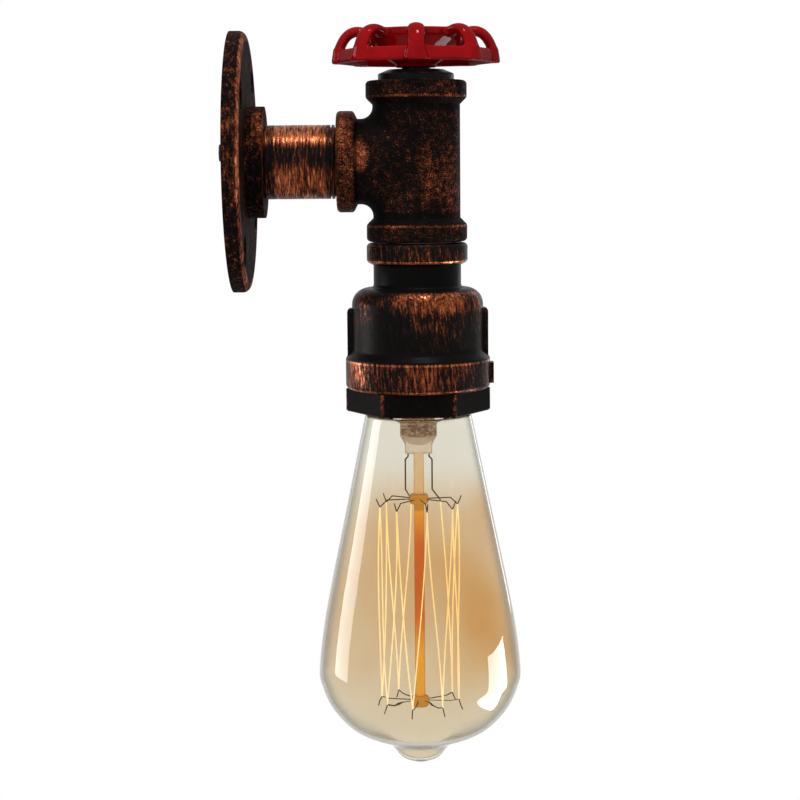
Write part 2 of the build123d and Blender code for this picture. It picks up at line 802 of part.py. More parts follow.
with BuildPart() as shell_insulator:
    with BuildSketch(at_run(lip_top_z)):
        Circle(shell_root_r + shell_t + sleeve_gap + sleeve_t)
        Circle(shell_root_r + shell_t + sleeve_gap, mode=Mode.SUBTRACT)
    extrude(amount=base_under_z - lip_top_z)
shell_insulator.part.label = "shell_insulator"

with BuildPart() as pinch_screws:
    for side in (1, -1):
        with BuildSketch(terminal_face(side)):
            Circle(pinch_screw_d / 2 - thread_gap)
        extrude(amount=-pinch_screw_len)
pinch_screws.part.label = "pinch_screws"

# ---------------------------------------------------------------- wires


def core(*points, radii):
    """Insulated core: straight runs joined by arcs."""
    with BuildPart() as wire:
        with BuildLine():
            route = FilletPolyline(*points, radius=radii)
        with BuildSketch(Plane(origin=route @ 0, z_dir=route % 0)):
            Circle(core_d / 2)
        sweep()
    length = route.length
    print(f"core: {length:.1f} mm long, bends {radii}, volume over section times length",
          round(wire.part.volume / (pi * core_d ** 2 / 4 * length), 4))
    return wire


core_side = core_d / 2 + core_gap               # the two lower cores lie this far apart from y = 0
core_low_z = sleeve_rise - core_level / 2
core_high_z = sleeve_rise + core_level
core_rank = (core_high_z - core_low_z) / 2      # the same spacing, where the cores hang
hole_end_z = terminal_top_z - wire_hole_depth + core_end_gap
spread_z = terminal_top_z + core_turn_rise
straight_z = -core_straight_drop


def terminal_core(side):
    """Core from the wall to a terminal: along the pipe, down the run, out to the terminal."""
    return core(
        (-sleeve_out, side * core_side, core_low_z),
        (wall_to_run - core_rank, side * core_side, core_low_z),
        (wall_to_run - core_rank, side * core_side, straight_z),
        (wall_to_run, side * terminal_offset, spread_z),
        (wall_to_run, side * terminal_offset, hole_end_z),
        radii=(core_bend_r, core_bend_r, core_bend_r),
    )


live_wire = terminal_core(-1)
live_wire.part.label = "live_wire"
neutral_wire = terminal_core(1)
neutral_wire.part.label = "neutral_wire"
earth_wire = core(
    (-sleeve_out, 0, core_high_z),
    (wall_to_run + core_rank, 0, core_high_z),
    (wall_to_run + core_rank, 0, straight_z),
    (wall_to_run + terminal_offset, 0, spread_z),
    (wall_to_run + terminal_offset, 0, leaf_z + core_end_gap),
    radii=(core_bend_r, core_bend_r, core_bend_r),
)
earth_wire.part.label = "earth_wire"

with BuildPart() as supply_sleeve:
    with BuildSketch(Plane((-sleeve_out, 0, sleeve_rise), x_dir=(0, 1, 0), z_dir=(1, 0, 0))):
        Circle(sleeve_d / 2)
        Circle(sleeve_bore_d / 2, mode=Mode.SUBTRACT)
    extrude(amount=sleeve_out + sleeve_in)
supply_sleeve.part.label = "supply_sleeve"

# ---------------------------------------------------------------- bulb: glass and cap


def glass_line(inset):
    """Half section of the bulb's glass from its neck to its tip, inset from the outside."""
    neck_r = neck_d / 2 - inset
    round_r = neck_round_r - inset / 2
    shoulder_z = tip_z - neck_drop - inset
    fit = Polyline(
        (neck_fit_d / 2 - inset, tip_z - neck_top_drop),
        (neck_fit_d / 2 - inset, shoulder_z),
        (neck_r - round_r, shoulder_z),
    )
    turn = RadiusArc(fit @ 1, (neck_r, shoulder_z - round_r), round_r)
    outside = [(neck_r, shoulder_z - round_r)]
    outside += [(radius, tip_z - drop) for radius, drop in bulb_outline]
    outside += [(0, tip_z - bulb_len)]
    blown = [turn @ 1]
    for before, here, after in zip(outside, outside[1:], outside[2:]):
        run, fall = after[0] - before[0], before[1] - after[1]
        shift = inset / sqrt(run ** 2 + fall ** 2)
        blown.append((here[0] - fall * shift, here[1] - run * shift))
    blown.append((0, tip_z - bulb_len + inset))
    Spline(*blown, tangents=((cone_slope, -1), (-1, 0)))
    return (neck_fit_d / 2 - inset, tip_z - neck_top_drop), blown[-1]


with BuildPart() as glass_envelope:
    with BuildSketch(RUN):
        with BuildLine():
            outer_top, outer_end = glass_line(0)
            inner_top, inner_end = glass_line(glass_t)
            Line(outer_top, inner_top)
            Line(outer_end, inner_end)
        make_face()
    revolve(axis=RUN_AXIS)
glass_envelope.part.label = "glass_envelope"

cap_crest_r = lamp_thread_d / 2
cap_top_z = tip_z - contact_h - vitrite_h
cap_mid_r = cap_crest_r - lamp_thread_depth / 2
cap_thread_z = tip_z - cap_thread_drop
cap_foot_z = cap_thread_z - cap_turns * lamp_thread_pitch
cap_end_z = tip_z - cap_drop

with BuildPart() as bulb_cap:
    with BuildSketch(RUN):
        with BuildLine():
            for inset in (0, cap_t):
                Polyline(
                    (vitrite_d / 2 + cap_t - inset, cap_top_z),
                    (cap_crest_r - inset, cap_thread_z + cap_shoulder),
                    (cap_mid_r - inset, cap_thread_z),
                )
                thread_wave(cap_crest_r - inset, cap_thread_z, cap_turns)
                Line((cap_mid_r - inset, cap_foot_z), (cap_skirt_d / 2 - inset, cap_end_z))
            Line((vitrite_d / 2 + cap_t, cap_top_z), (vitrite_d / 2, cap_top_z))
            Line((cap_skirt_d / 2, cap_end_z), (cap_skirt_d / 2 - cap_t, cap_end_z))
        make_face()
    revolve(axis=RUN_AXIS)
bulb_cap.part.label = "bulb_cap"

with BuildPart() as cap_insulator:
    with BuildSketch(RUN):
        outline(
            (0, tip_z - contact_h),
            (vitrite_top_d / 2, tip_z - contact_h),
            (vitrite_d / 2, cap_top_z),
            (vitrite_d / 2, cap_top_z - vitrite_seat),
            (0, cap_top_z - vitrite_seat),
        )
    revolve(axis=RUN_AXIS)
cap_insulator.part.label = "cap_insulator"

with BuildPart() as cap_contact:
    with BuildSketch(at_run(tip_z - contact_h)):
        Circle(contact_d / 2)
    extrude(amount=contact_h)
    fillet(cap_contact.edges().group_by(Axis.Z)[-1], contact_h / 2)
cap_contact.part.label = "cap_contact"

# ---------------------------------------------------------------- bulb: inside

flare_z = tip_z - flare_drop
press_z = tip_z - press_drop
press_end_z = press_z - press_len
upper_z = tip_z - upper_button_drop
lower_z = tip_z - bulb_len + lower_button_rise
neck_inner_r = neck_fit_d / 2 - glass_t - thread_gap

with BuildPart() as glass_stem:
    with BuildSketch(RUN):
        with BuildLine():
            for inset in (0, flare_wall):
                low = (flare_d / 2 - inset, flare_z)
                high = (neck_inner_r - inset, tip_z - neck_top_drop)
                bend = ((low[0] + high[0]) / 2 - flare_hollow, (low[1] + high[1]) / 2)
                ThreePointArc(high, bend, low)
                Line(low, (flare_d / 2 - inset, press_z))
            Line((neck_inner_r, tip_z - neck_top_drop), (neck_inner_r - flare_wall, tip_z - neck_top_drop))
            Line((flare_d / 2, press_z), (flare_d / 2 - flare_wall, press_z))
        make_face()
    revolve(axis=RUN_AXIS)
    # the tube is pressed flat round the lead wires
    with BuildSketch(at_run(press_z)):
        Circle(flare_d / 2)
    with BuildSketch(at_run(press_z - press_len / 2)):
        SlotOverall(press_w, press_t)
    loft()
    with BuildSketch(at_run(press_z - press_len / 2)):
        SlotOverall(press_w, press_t)
    extrude(amount=-press_len / 2)
    with BuildSketch(at_run(press_end_z)):
        Circle(rod_d / 2)
    extrude(amount=lower_z - press_end_z)
    for button_z in (upper_z, lower_z):
        with BuildSketch(at_run(button_z - button_h / 2)):
            Circle(button_d / 2)
        extrude(amount=button_h)
    button_rims = glass_stem.edges().filter_by(GeomType.CIRCLE).filter_by(
        lambda e: abs(e.radius - button_d / 2) < found_within and e.center().Z < press_end_z
    )
    fillet(button_rims, button_rim_r)
glass_stem.part.label = "glass_stem"


def hook_arm(arm_z, eye_z, end_z):
    """Support wire: straight out of the button, then to its eye and on to its tip."""
    with BuildPart() as arm:
        with BuildLine():
            bent = Polyline(
                (button_d / 2 - hook_set, 0, arm_z),
                (hook_elbow, 0, arm_z),
                (hook_eye, 0, eye_z),
                (hook_tip, 0, end_z),
            )
        with BuildSketch(Plane(origin=bent @ 0, z_dir=bent % 0)):
            Circle(hook_d / 2)
        sweep(transition=Transition.ROUND)
    return arm.part


upper_eye_z = upper_z - upper_eye_drop
lower_eye_z = lower_z + lower_eye_rise
hook_step = 360 / cage_sides

# The filament's two ends hang on the lead wires, so hooks carry only the eyes between them.
with BuildPart() as upper_hooks:
    with Locations((wall_to_run, 0, 0)):
        with PolarLocations(0, cage_sides - 2, start_angle=hook_turn + hook_step,
                            angular_range=(cage_sides - 2) * hook_step):
            add(hook_arm(upper_z, upper_eye_z, upper_eye_z + upper_tip_rise))
upper_hooks.part.label = "upper_hooks"

with BuildPart() as lower_hooks:
    with Locations((wall_to_run, 0, 0)):
        with PolarLocations(0, cage_sides - 1, start_angle=hook_turn + hook_step / 2,
                            angular_range=(cage_sides - 1) * hook_step):
            add(hook_arm(lower_z, lower_eye_z, lower_eye_z - lower_tip_drop))
lower_hooks.part.label = "lower_hooks"


def eye(turn, height):
    """Point on the cage, this many steps round from its first eye."""
    angle = radians(hook_turn + turn * hook_step)
    return Vector(wall_to_run + hook_eye * cos(angle), hook_eye * sin(angle), height)


# one filament, strung down and up between the eyes
with BuildPart() as filament:
    with BuildLine():
        strung = [eye(0, upper_eye_z)]
        for k in range(cage_sides - 1):
            strung += [eye(k + 0.5, lower_eye_z), eye(k + 1, upper_eye_z)]
        zigzag = Polyline(*strung)
    with BuildSketch(Plane(origin=zigzag @ 0, z_dir=zigzag % 0)):
        Circle(filament_d / 2)
    sweep(transition=Transition.ROUND)
filament.part.label = "filament"

with BuildPart() as lead_wires:
    for side, turn in ((-1, 0), (1, cage_sides - 1)):
        with BuildLine():
            hung = Polyline(
                (wall_to_run + side * lead_offset, 0, press_end_z),
                (wall_to_run + side * lead_offset, 0, press_end_z - lead_kink_drop),
                (wall_to_run + side * lead_hang, 0, press_end_z - 2 * lead_kink_drop),
                (wall_to_run + side * lead_hang, 0, upper_z + lead_bend_rise),
                eye(turn, upper_eye_z),
            )
        with BuildSketch(Plane(origin=hung @ 0, z_dir=hung % 0)):
            Circle(lead_d / 2)
        sweep(path=hung, transition=Transition.ROUND)
lead_wires.part.label = "lead_wires"

# ---------------------------------------------------------------- files

os.makedirs("parts", exist_ok=True)
export_step(wall_flange.part, "parts/wall_flange.step")
export_step(pipe_nipple.part, "parts/pipe_nipple.step")
export_step(tee_fitting.part, "parts/tee_fitting.step")
export_step(top_plug.part, "parts/top_plug.step")
export_step(wheel_spindle.part, "parts/wheel_spindle.step")
export_step(spindle_clip.part, "parts/spindle_clip.step")
export_step(thrust_washer.part, "parts/thrust_washer.step")
export_step(handwheel.part, "parts/handwheel.step")
export_step(lock_washer.part, "parts/lock_washer.step")
export_step(wheel_nut.part, "parts/wheel_nut.step")
export_step(close_nipple.part, "parts/close_nipple.step")
export_step(reducing_socket.part, "parts/reducing_socket.step")
export_step(hex_bushing.part, "parts/hex_bushing.step")
export_step(earth_ring.part, "parts/earth_ring.step")
export_step(lampholder_base.part, "parts/lampholder_base.step")
export_step(centre_contact.part, "parts/centre_contact.step")
export_step(live_terminal.part, "parts/live_terminal.step")
export_step(neutral_terminal.part, "parts/neutral_terminal.step")
export_step(pinch_screws.part, "parts/pinch_screws.step")
export_step(screw_shell.part, "parts/screw_shell.step")
export_step(shell_rivets.part, "parts/shell_rivets.step")
export_step(shell_insulator.part, "parts/shell_insulator.step")
export_step(live_wire.part, "parts/live_wire.step")
export_step(neutral_wire.part, "parts/neutral_wire.step")
export_step(earth_wire.part, "parts/earth_wire.step")
export_step(supply_sleeve.part, "parts/supply_sleeve.step")
export_step(glass_envelope.part, "parts/glass_envelope.step")
export_step(bulb_cap.part, "parts/bulb_cap.step")
export_step(cap_insulator.part, "parts/cap_insulator.step")
export_step(cap_contact.part, "parts/cap_contact.step")
export_step(glass_stem.part, "parts/glass_stem.step")
export_step(lead_wires.part, "parts/lead_wires.step")
export_step(upper_hooks.part, "parts/upper_hooks.step")
export_step(lower_hooks.part, "parts/lower_hooks.step")
export_step(filament.part, "parts/filament.step")
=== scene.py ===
# %% [markdown]
# # A wall light made of pipe fittings
# A round flange holds a short pipe to the wall, a tee carries a red handwheel, and a
# reducing socket below it holds a teardrop filament bulb. The pieces with hard, known
# sizes come in from CAD and stay as they are. This script gives them their worn copper,
# black paint and brass, and models again what CAD draws too plainly: the cast handwheel, the
# blown glass and the limp filament.

# %% Load the CAD frame
from math import cos, radians, sin

import bpy
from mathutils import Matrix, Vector


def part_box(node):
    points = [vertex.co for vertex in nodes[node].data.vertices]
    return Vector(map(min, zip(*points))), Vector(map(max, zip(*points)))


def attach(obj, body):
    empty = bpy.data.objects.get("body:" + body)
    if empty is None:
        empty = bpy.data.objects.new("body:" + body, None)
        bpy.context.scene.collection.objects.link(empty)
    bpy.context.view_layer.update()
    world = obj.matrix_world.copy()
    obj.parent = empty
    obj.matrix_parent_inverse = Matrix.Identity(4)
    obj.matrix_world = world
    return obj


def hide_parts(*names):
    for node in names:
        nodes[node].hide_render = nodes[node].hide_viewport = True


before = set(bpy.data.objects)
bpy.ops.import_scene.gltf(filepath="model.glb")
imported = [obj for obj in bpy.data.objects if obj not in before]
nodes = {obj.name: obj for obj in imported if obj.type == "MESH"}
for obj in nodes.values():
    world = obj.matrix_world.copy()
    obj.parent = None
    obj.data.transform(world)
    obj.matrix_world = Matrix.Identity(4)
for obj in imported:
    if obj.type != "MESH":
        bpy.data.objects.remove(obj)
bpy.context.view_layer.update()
run_x = 0.0568                     # the upright run's axis stands this far from the wall
bpy.ops.object.select_all(action="DESELECT")

# %% [markdown]
# ## Camera
# The camera stands level with the horizontal pipe and looks a little down through a long
# lens, so the beads below it show as shallow arcs and the flange almost edge-on. The focal
# length comes from how fast those arcs open from the top of the picture to its bottom.

# %% Camera
picture_px = 800
focal_px = 1930
tilt_down, roll = 7, 0.47          # degrees
camera_data = bpy.data.cameras.new("photo_camera")
camera_data.sensor_width = 36
camera_data.lens = focal_px / picture_px * camera_data.sensor_width
camera_data.clip_start = 0.01
camera = bpy.data.objects.new("photo_camera", camera_data)
bpy.context.scene.collection.objects.link(camera)
camera.location = (0.0517, -0.6, -0.0005)
camera.rotation_euler = (radians(90 - tilt_down), radians(roll), 0)
bpy.context.scene.camera = camera
bpy.context.scene.view_settings.view_transform = "Standard"
print("lens", round(camera_data.lens, 2), "mm")

# %% [markdown]
# ## Writing shader maths as sums
# A node tree is easier to read as an expression. This class wraps one output socket, so that
# `1 - mask * 0.5` adds the Math nodes that it names. Every other node comes from `node`.


# %% A socket that can be written in sums
def opaque(colour):
    """Three numbers with an alpha of 1. A Flow stays as it is."""
    return colour if isinstance(colour, Flow) else (*colour, 1)


class Flow:
    def __init__(self, socket):
        self.socket = socket

    def node(self, kind, inputs, out=0, stops=None, **settings):
        tree = self.socket.id_data
        made = tree.nodes.new("ShaderNode" + kind)
        for name, value in settings.items():
            setattr(made, name, value)
        if stops:
            ramp = made.color_ramp.elements
            for place, colour in stops[1:-1]:
                ramp.new(place)
            for element, (place, colour) in zip(ramp, stops):
                element.position, element.color = place, opaque(colour)
        for name, value in inputs.items():
            if isinstance(value, Flow):
                tree.links.new(value.socket, made.inputs[name])
            else:
                made.inputs[name].default_value = value
        return Flow(made.outputs[out])

    def math(self, operation, first, second=0.0):
        return self.node("Math", {0: first, 1: second}, operation=operation)

    def __add__(self, other):
        return self.math("ADD", self, other)

    def __sub__(self, other):
        return self.math("SUBTRACT", self, other)

    def __rsub__(self, other):
        return self.math("SUBTRACT", other, self)

    def __mul__(self, other):
        return self.math("MULTIPLY", self, other)

    __radd__ = __add__
    __rmul__ = __mul__

    def most(self, other):
        return self.math("MAXIMUM", self, other)

    def axes(self):
        """The x, y and z of a position."""
        split = self.node("SeparateXYZ", {"Vector": self}).socket.node
        return [Flow(split.outputs[i]) for i in range(3)]

    def reach(self, other):
        """Length of a vector whose two parts are self and other."""
        return self.math("SQRT", self * self + other * other)

    def step(self, low, high):
        """0 below low, 1 above high, and a soft turn between them."""
        return self.node("MapRange", {"Value": self, "From Min": low, "From Max": high},
                         interpolation_type="SMOOTHSTEP")

    def band(self, low, high, soft):
        """1 between low and high, fading over soft on both sides."""
        return self.step(low - soft, low) * (1 - self.step(high, high + soft))

    def noise(self, lumps, detail=3.0, rough=0.5, shift=(0, 0, 0)):
        """Noise on a position. lumps is how many there are per metre, for all axes or for each."""
        stretch = lumps if isinstance(lumps, tuple) else (lumps, lumps, lumps)
        place = self.node("Mapping", {"Vector": self, "Location": shift, "Scale": stretch})
        settings = {"Vector": place, "Scale": 1.0, "Detail": detail, "Roughness": rough}
        return self.node("TexNoise", settings)

    def mix(self, first, second):
        """The first colour where self is 0, the second where it is 1."""
        colours = {0: self, 6: opaque(first), 7: opaque(second)}
        return self.node("Mix", colours, out=2, data_type="RGBA")

    def bump(self, height_m):
        """Normal for a height field that is this many metres high where self is 1."""
        return self.node("Bump", {"Height": self, "Distance": height_m, "Strength": 1.0})


# %% A new material and the place on its piece
def shader_socket(material, word):
    """The Principled socket that a keyword means: base_color is Base Color."""
    name = word.replace("_", " ").title().replace("Ior", "IOR")
    return material.node_tree.nodes["Principled BSDF"].inputs[name]


def finish(name, **constants):
    """A material with one Principled shader, and the position on the piece in metres."""
    material = bpy.data.materials.new(name)
    material.use_nodes = True
    for word, value in constants.items():
        shader_socket(material, word).default_value = value
    place = Flow(material.node_tree.nodes.new("ShaderNodeTexCoord").outputs["Object"])
    return material, place


def feed(material, **flows):
    """Link what varies over the surface to the shader's sockets."""
    for word, flow in flows.items():
        material.node_tree.links.new(flow.socket, shader_socket(material, word))
    return material


def dress(material, *names):
    """Give the CAD nodes of these names one material."""
    for name in names:
        mesh = nodes[name].data
        mesh.materials.clear()
        mesh.materials.append(material)
    print(material.name, "on", ", ".join(names))


# %% [markdown]
# ## Antique copper
# The fittings are painted black and rubbed back, so a copper colour shows where a brush or
# pad has touched: on beads, rims and the high points of the rough casting. Two things are
# needed. A wear map says how much a place was rubbed, and a grain says which points give
# way first. A ramp then goes from black paint through brown to copper, so one grain can
# fade from bare metal to solid black, with thinned brown paint between them.

# %% Worn copper
paint_to_copper = (
    (0.00, (0.0036, 0.0032, 0.0030)),
    (0.42, (0.0060, 0.0048, 0.0042)),
    (0.54, (0.0260, 0.0098, 0.0060)),
    (0.68, (0.1250, 0.0290, 0.0110)),
    (0.90, (0.2800, 0.0720, 0.0230)),
    (1.00, (0.5000, 0.1800, 0.0850)),
)


def worn_copper(name, build, rough_height, gloss=0.42, dust=0.5, shine=0.02, bite=2.2):
    """Paint rubbed back to copper. build(place) returns wear, grain and the casting's relief.

    The relief is rough_height metres high. A high bite gives hard edges between paint and
    copper, and dust breaks them into specks. A low gloss mirrors more sharply, and shine is
    how much the paint mirrors at all.
    """
    material, place = finish(name, specular_ior_level=shine)
    wear, grain, relief = build(place)
    specks = place.noise(5200, detail=1)
    # Where a fitting's wear map holds painted light or shade, it shows here as more or less
    # copper.
    show = (wear - grain) * bite + (specks - 0.5) * dust + 0.5
    colour = show.node("ValToRGB", {"Fac": show}, stops=paint_to_copper)
    bare = show.step(0.5, 0.95)
    return feed(
        material,
        base_color=colour,
        metallic=bare * 0.6,
        roughness=gloss - bare * 0.06 + relief * 0.08,
        normal=(relief + bare * 0.1).bump(rough_height),
    )


# %% [markdown]
# The tee is raw sand casting: its skin is pebbled at about half a millimetre, and copper
# shows on the pebbles' tops. Its beads were rubbed hardest, and the hollows beside them
# stayed black. A warmer patch lies on the branch's neck.


# %% Tee
def tee_wear_and_painted_light(place):
    x, y, z = place.axes()
    height = z.math("ABSOLUTE", z)
    pebbles = place.noise(2300, detail=3, rough=0.6)
    lumps = place.noise(620, detail=2)
    patches = place.noise((85, 85, 60), detail=2, shift=(0.3, 0.0, 0.1))
    # A band down the right side gets more copper, which is painted light.
    painted_right_side = (x - run_x).band(0.0030, 0.0115, 0.003)
    beads = height.step(0.0192, 0.0196)
    branch_bead = 1 - x.step(0.0376, 0.0382)
    from_patch = (x - 0.0396).reach((z - 0.002) * 0.5)
    neck_patch = (1 - from_patch.step(0.0010, 0.0060)) * (1 - y.step(-0.008, 0.0))
    edge = height.band(0.0194, 0.0200, 0.0004)
    hollow = height.band(0.0160, 0.0190, 0.0012)
    # The upper and lower left get less copper, which is painted shade.
    painted_left_shade = 1 - x.step(0.0435, 0.0475)
    body = patches.step(0.34, 0.66) * 0.09 + painted_right_side * 0.07 + 0.350
    wear = body - hollow * 0.10 - painted_left_shade * height.step(0.009, 0.013) * 0.2
    wear = wear.most(beads * (patches * 0.24 + 0.30))
    wear = wear.most(branch_bead * (patches * 0.25 + 0.41))
    wear = wear.most(neck_patch * (patches * 0.3 + 0.50))
    wear = wear.most(edge * (patches * 0.3 + 0.40))
    return wear, pebbles * 0.65 + lumps * 0.35, pebbles * 0.5 + lumps * 0.5


tee_copper = worn_copper("tee_antique_copper", tee_wear_and_painted_light, 0.00032, dust=1.1, shine=0.005, bite=1.9)
dress(tee_copper, "tee_fitting")

# %% [markdown]
# The reducing socket was brushed from top to bottom, so its copper lies in upright streaks:
# dense on the shoulder and the two beads, thin on the body, and none in the neck.


# %% Reducing socket
def socket_wear_and_painted_highlight(place):
    x, _, z = place.axes()
    leaning = place.node("Mapping", {"Vector": place, "Rotation": (0, radians(7), 0)})
    streaks = leaning.noise((1300, 1300, 240), detail=4, rough=0.68)
    skin = place.noise(1700, detail=2)
    patches = place.noise((75, 75, 50), detail=2, shift=(0.1, 0.2, 0.0))
    # More copper down the middle of the shoulder is a painted highlight.
    painted_front_highlight = (x - run_x).band(-0.002, 0.014, 0.010)
    down_shoulder = z.step(-0.0545, -0.0430) * (painted_front_highlight * 0.09 + 0.37) + 0.13
    shoulder = (1 - z.step(-0.0400, -0.0386)) * down_shoulder
    big_bead = z.band(-0.0702, -0.0610, 0.0005) * 0.52
    small_bead = z.band(-0.0308, -0.0252, 0.0004) * 0.47
    body = z.band(-0.0600, -0.0450, 0.003) * (z.step(-0.0590, -0.0480) * 0.10 + 0.355)
    wear = shoulder.most(big_bead).most(small_bead).most(body) + (patches - 0.5) * 0.5
    rims = z.band(-0.0616, -0.0607, 0.0003).most(z.band(-0.0706, -0.0694, 0.0003))
    rims = rims.most(z.band(-0.0311, -0.0304, 0.0003))
    dark = z.band(-0.0386, -0.0318, 0.0006).most(z.band(-0.0606, -0.0580, 0.0006))
    wear = wear.most(rims * (patches * 0.4 + 0.42)) * (1 - dark * 0.5)
    return wear, streaks * 0.8 + skin * 0.2, streaks * 0.4 + skin * 0.6


socket_copper = worn_copper("socket_antique_copper", socket_wear_and_painted_highlight, 0.00010, gloss=0.3)
dress(socket_copper, "reducing_socket")

# %% [markdown]
# The hexagonal bushing has a finer skin than the castings, and its faces stayed almost black.
# Its corners and its foot are what gets knocked, and copper shows there. The distance from
# the run's axis tells a corner from a face.


# %% Hex bushing
def bushing_wear(place):
    x, y, z = place.axes()
    streaks = place.noise((1500, 1500, 520), detail=3, rough=0.7)
    skin = place.noise(1700, detail=2)
    corners = (x - run_x).reach(y).step(0.0216, 0.0223)
    foot = 1 - z.step(-0.0772, -0.0766)
    wear = (corners * 0.52).most(foot * 0.50).most(0.345)
    return wear, streaks * 0.6 + skin * 0.4, skin


bushing_copper = worn_copper(
    "bushing_antique_copper", bushing_wear, 0.00006, gloss=0.40, shine=0.008
)
dress(bushing_copper, "hex_bushing")

# %% [markdown]
# The flange is the roughest casting of them all. Its rim and its boss were rubbed in
# patches, the rim most near the height of the pipe, and its face only a little. The distance
# from the boss's axis finds the rim, and noise keeps the wear uneven.


# %% Wall flange
def flange_wear(place):
    x, y, z = place.axes()
    streaks = place.noise((900, 900, 240), detail=4, rough=0.7)
    specks = place.noise(1900, detail=3, rough=0.6)
    patches = place.noise((95, 95, 42), detail=3, shift=(0.0, 0.0, 0.3))
    rubbed = z.band(-0.012, 0.026, 0.008)
    from_axis = y.reach(z)
    rim = from_axis.step(0.0372, 0.0385) * (patches.step(0.34, 0.60) * 0.31 + rubbed * 0.19)
    boss = x.step(0.0060, 0.0070) * (1 - y.step(-0.006, 0.0))
    boss = boss * (patches.step(0.3, 0.6) * 0.24 + 0.32)
    edge = x.band(0.0042, 0.0050, 0.0005) * from_axis.step(0.0360, 0.0372)
    wear = rim.most(boss).most(edge * (patches * 0.3 + 0.42)).most(0.45)
    return wear, streaks * 0.65 + specks * 0.35, specks


flange_copper = worn_copper(
    "flange_antique_copper", flange_wear, 0.00090, gloss=0.6, dust=0.8, shine=0.008, bite=2.6
)
dress(flange_copper, "wall_flange")

# %% [markdown]
# The nipple is smooth pipe, and hairs of copper run round it as if it was brushed while it
# turned. The noise for them is squeezed along the pipe and long round it. Its crown is
# brighter than its side as a painted highlight, its belly is brighter too, and its ends near
# the threads are darker.


# %% Nipple
def nipple_wear_and_painted_highlight(place):
    x, _, z = place.axes()
    hairs = place.noise((2600, 240, 240), detail=4, rough=0.75)
    patches = place.noise((130, 90, 90), detail=3)
    # More copper along the crown is a painted highlight on the top of the pipe.
    painted_crown_highlight = z.step(0.0035, 0.0070) * 0.19
    belly = (1 - z.step(-0.0035, 0.0015)) * 0.16
    ends = 1 - x.band(0.0135, 0.0290, 0.0006)
    return patches * 0.30 + painted_crown_highlight + belly + 0.295 - ends * 0.1, hairs, hairs


nipple_copper = worn_copper(
    "nipple_antique_copper", nipple_wear_and_painted_highlight, 0.00004, gloss=0.3, dust=0.35
)
dress(nipple_copper, "pipe_nipple")

# %% [markdown]
# ## Red enamel
# Enamel has no grain of its own. What makes it real is a slow waviness from the casting
# below, which bends each highlight a little, and a thin clear coat on top.

# %% Red enamel
enamel, place = finish(
    "red_enamel", specular_ior_level=0.0, roughness=0.35, coat_weight=0.12, coat_roughness=0.06
)
waves = place.noise(140, detail=3)
red = waves.step(0.3, 0.7).mix((0.17, 0.0010, 0.0018), (0.25, 0.0018, 0.0030))
feed(enamel, base_color=red, normal=waves.bump(0.00018))
print("made", enamel.name)


# %% Selecting and joining pieces
def select_only(*pieces):
    """Deselect everything, select these pieces, and make the first one active."""
    bpy.ops.object.select_all(action="DESELECT")
    for piece in pieces:
        piece.select_set(True)
    if pieces:
        bpy.context.view_layer.objects.active = pieces[0]


def joined(name, pieces):
    """Join finished pieces into one object of this name."""
    select_only(*pieces)
    bpy.ops.object.join()
    pieces[0].name = name
    return pieces[0]


# %% [markdown]
# ## Handwheel
# The wheel is a thin casting under a thick coat, so no inner corner is sharp: each arch runs
# out over the skirt in a soft foot. Fillets between eight arches and a cone are hard to
# build one by one. A voxel remesh of a copy of the wheel joins everything into one skin,
# and a Smooth modifier then melts the corners as enamel does.

# %% Arch feet
arches = 8
foot_radius, foot_tall = 0.0024, 0.0042
foot_flat = (0.56, 1.0, 1.0)       # how the ridge is flattened, and how its lower edge spreads
foot_spread = (1.1, 1.55, 1.0)
foot_out, foot_height = 0.0242, 0.0320     # from the run's axis, and above the origin
foot_lean = radians(-6)


def copy_of(piece):
    """A copy of a piece with its own mesh, selected and active."""
    select_only(piece)
    bpy.ops.object.duplicate()
    return bpy.context.object


def plain_foot():
    """A flat ridge at the origin, which spreads towards its lower edge."""
    select_only()
    bpy.ops.mesh.primitive_cylinder_add(vertices=20, radius=foot_radius, depth=foot_tall)
    ridge = bpy.context.object
    lower = [v.index for v in ridge.data.vertices if v.co.z < 0]
    bpy.ops.object.mode_set(mode="EDIT")
    bpy.ops.mesh.select_all(action="SELECT")
    bpy.ops.transform.resize(value=foot_flat)
    bpy.ops.mesh.select_all(action="DESELECT")
    bpy.ops.object.mode_set(mode="OBJECT")
    for index in lower:
        ridge.data.vertices[index].select = True
    bpy.ops.object.mode_set(mode="EDIT")
    bpy.ops.transform.resize(value=foot_spread)
    bpy.ops.object.mode_set(mode="OBJECT")
    return ridge


def set_foot(ridge, angle):
    """Stand a foot on the skirt, where it carries the arch at this angle on down."""
    select_only(ridge)
    ridge.rotation_euler = (0, foot_lean, angle)
    ridge.location = (run_x + foot_out * cos(angle), foot_out * sin(angle), foot_height)
    bpy.ops.object.transform_apply()


first_foot = plain_foot()
feet = [first_foot] + [copy_of(first_foot) for _ in range(arches - 1)]
for k, ridge in enumerate(feet):
    set_foot(ridge, radians(360 / arches * k))
print("arch feet", len(feet))

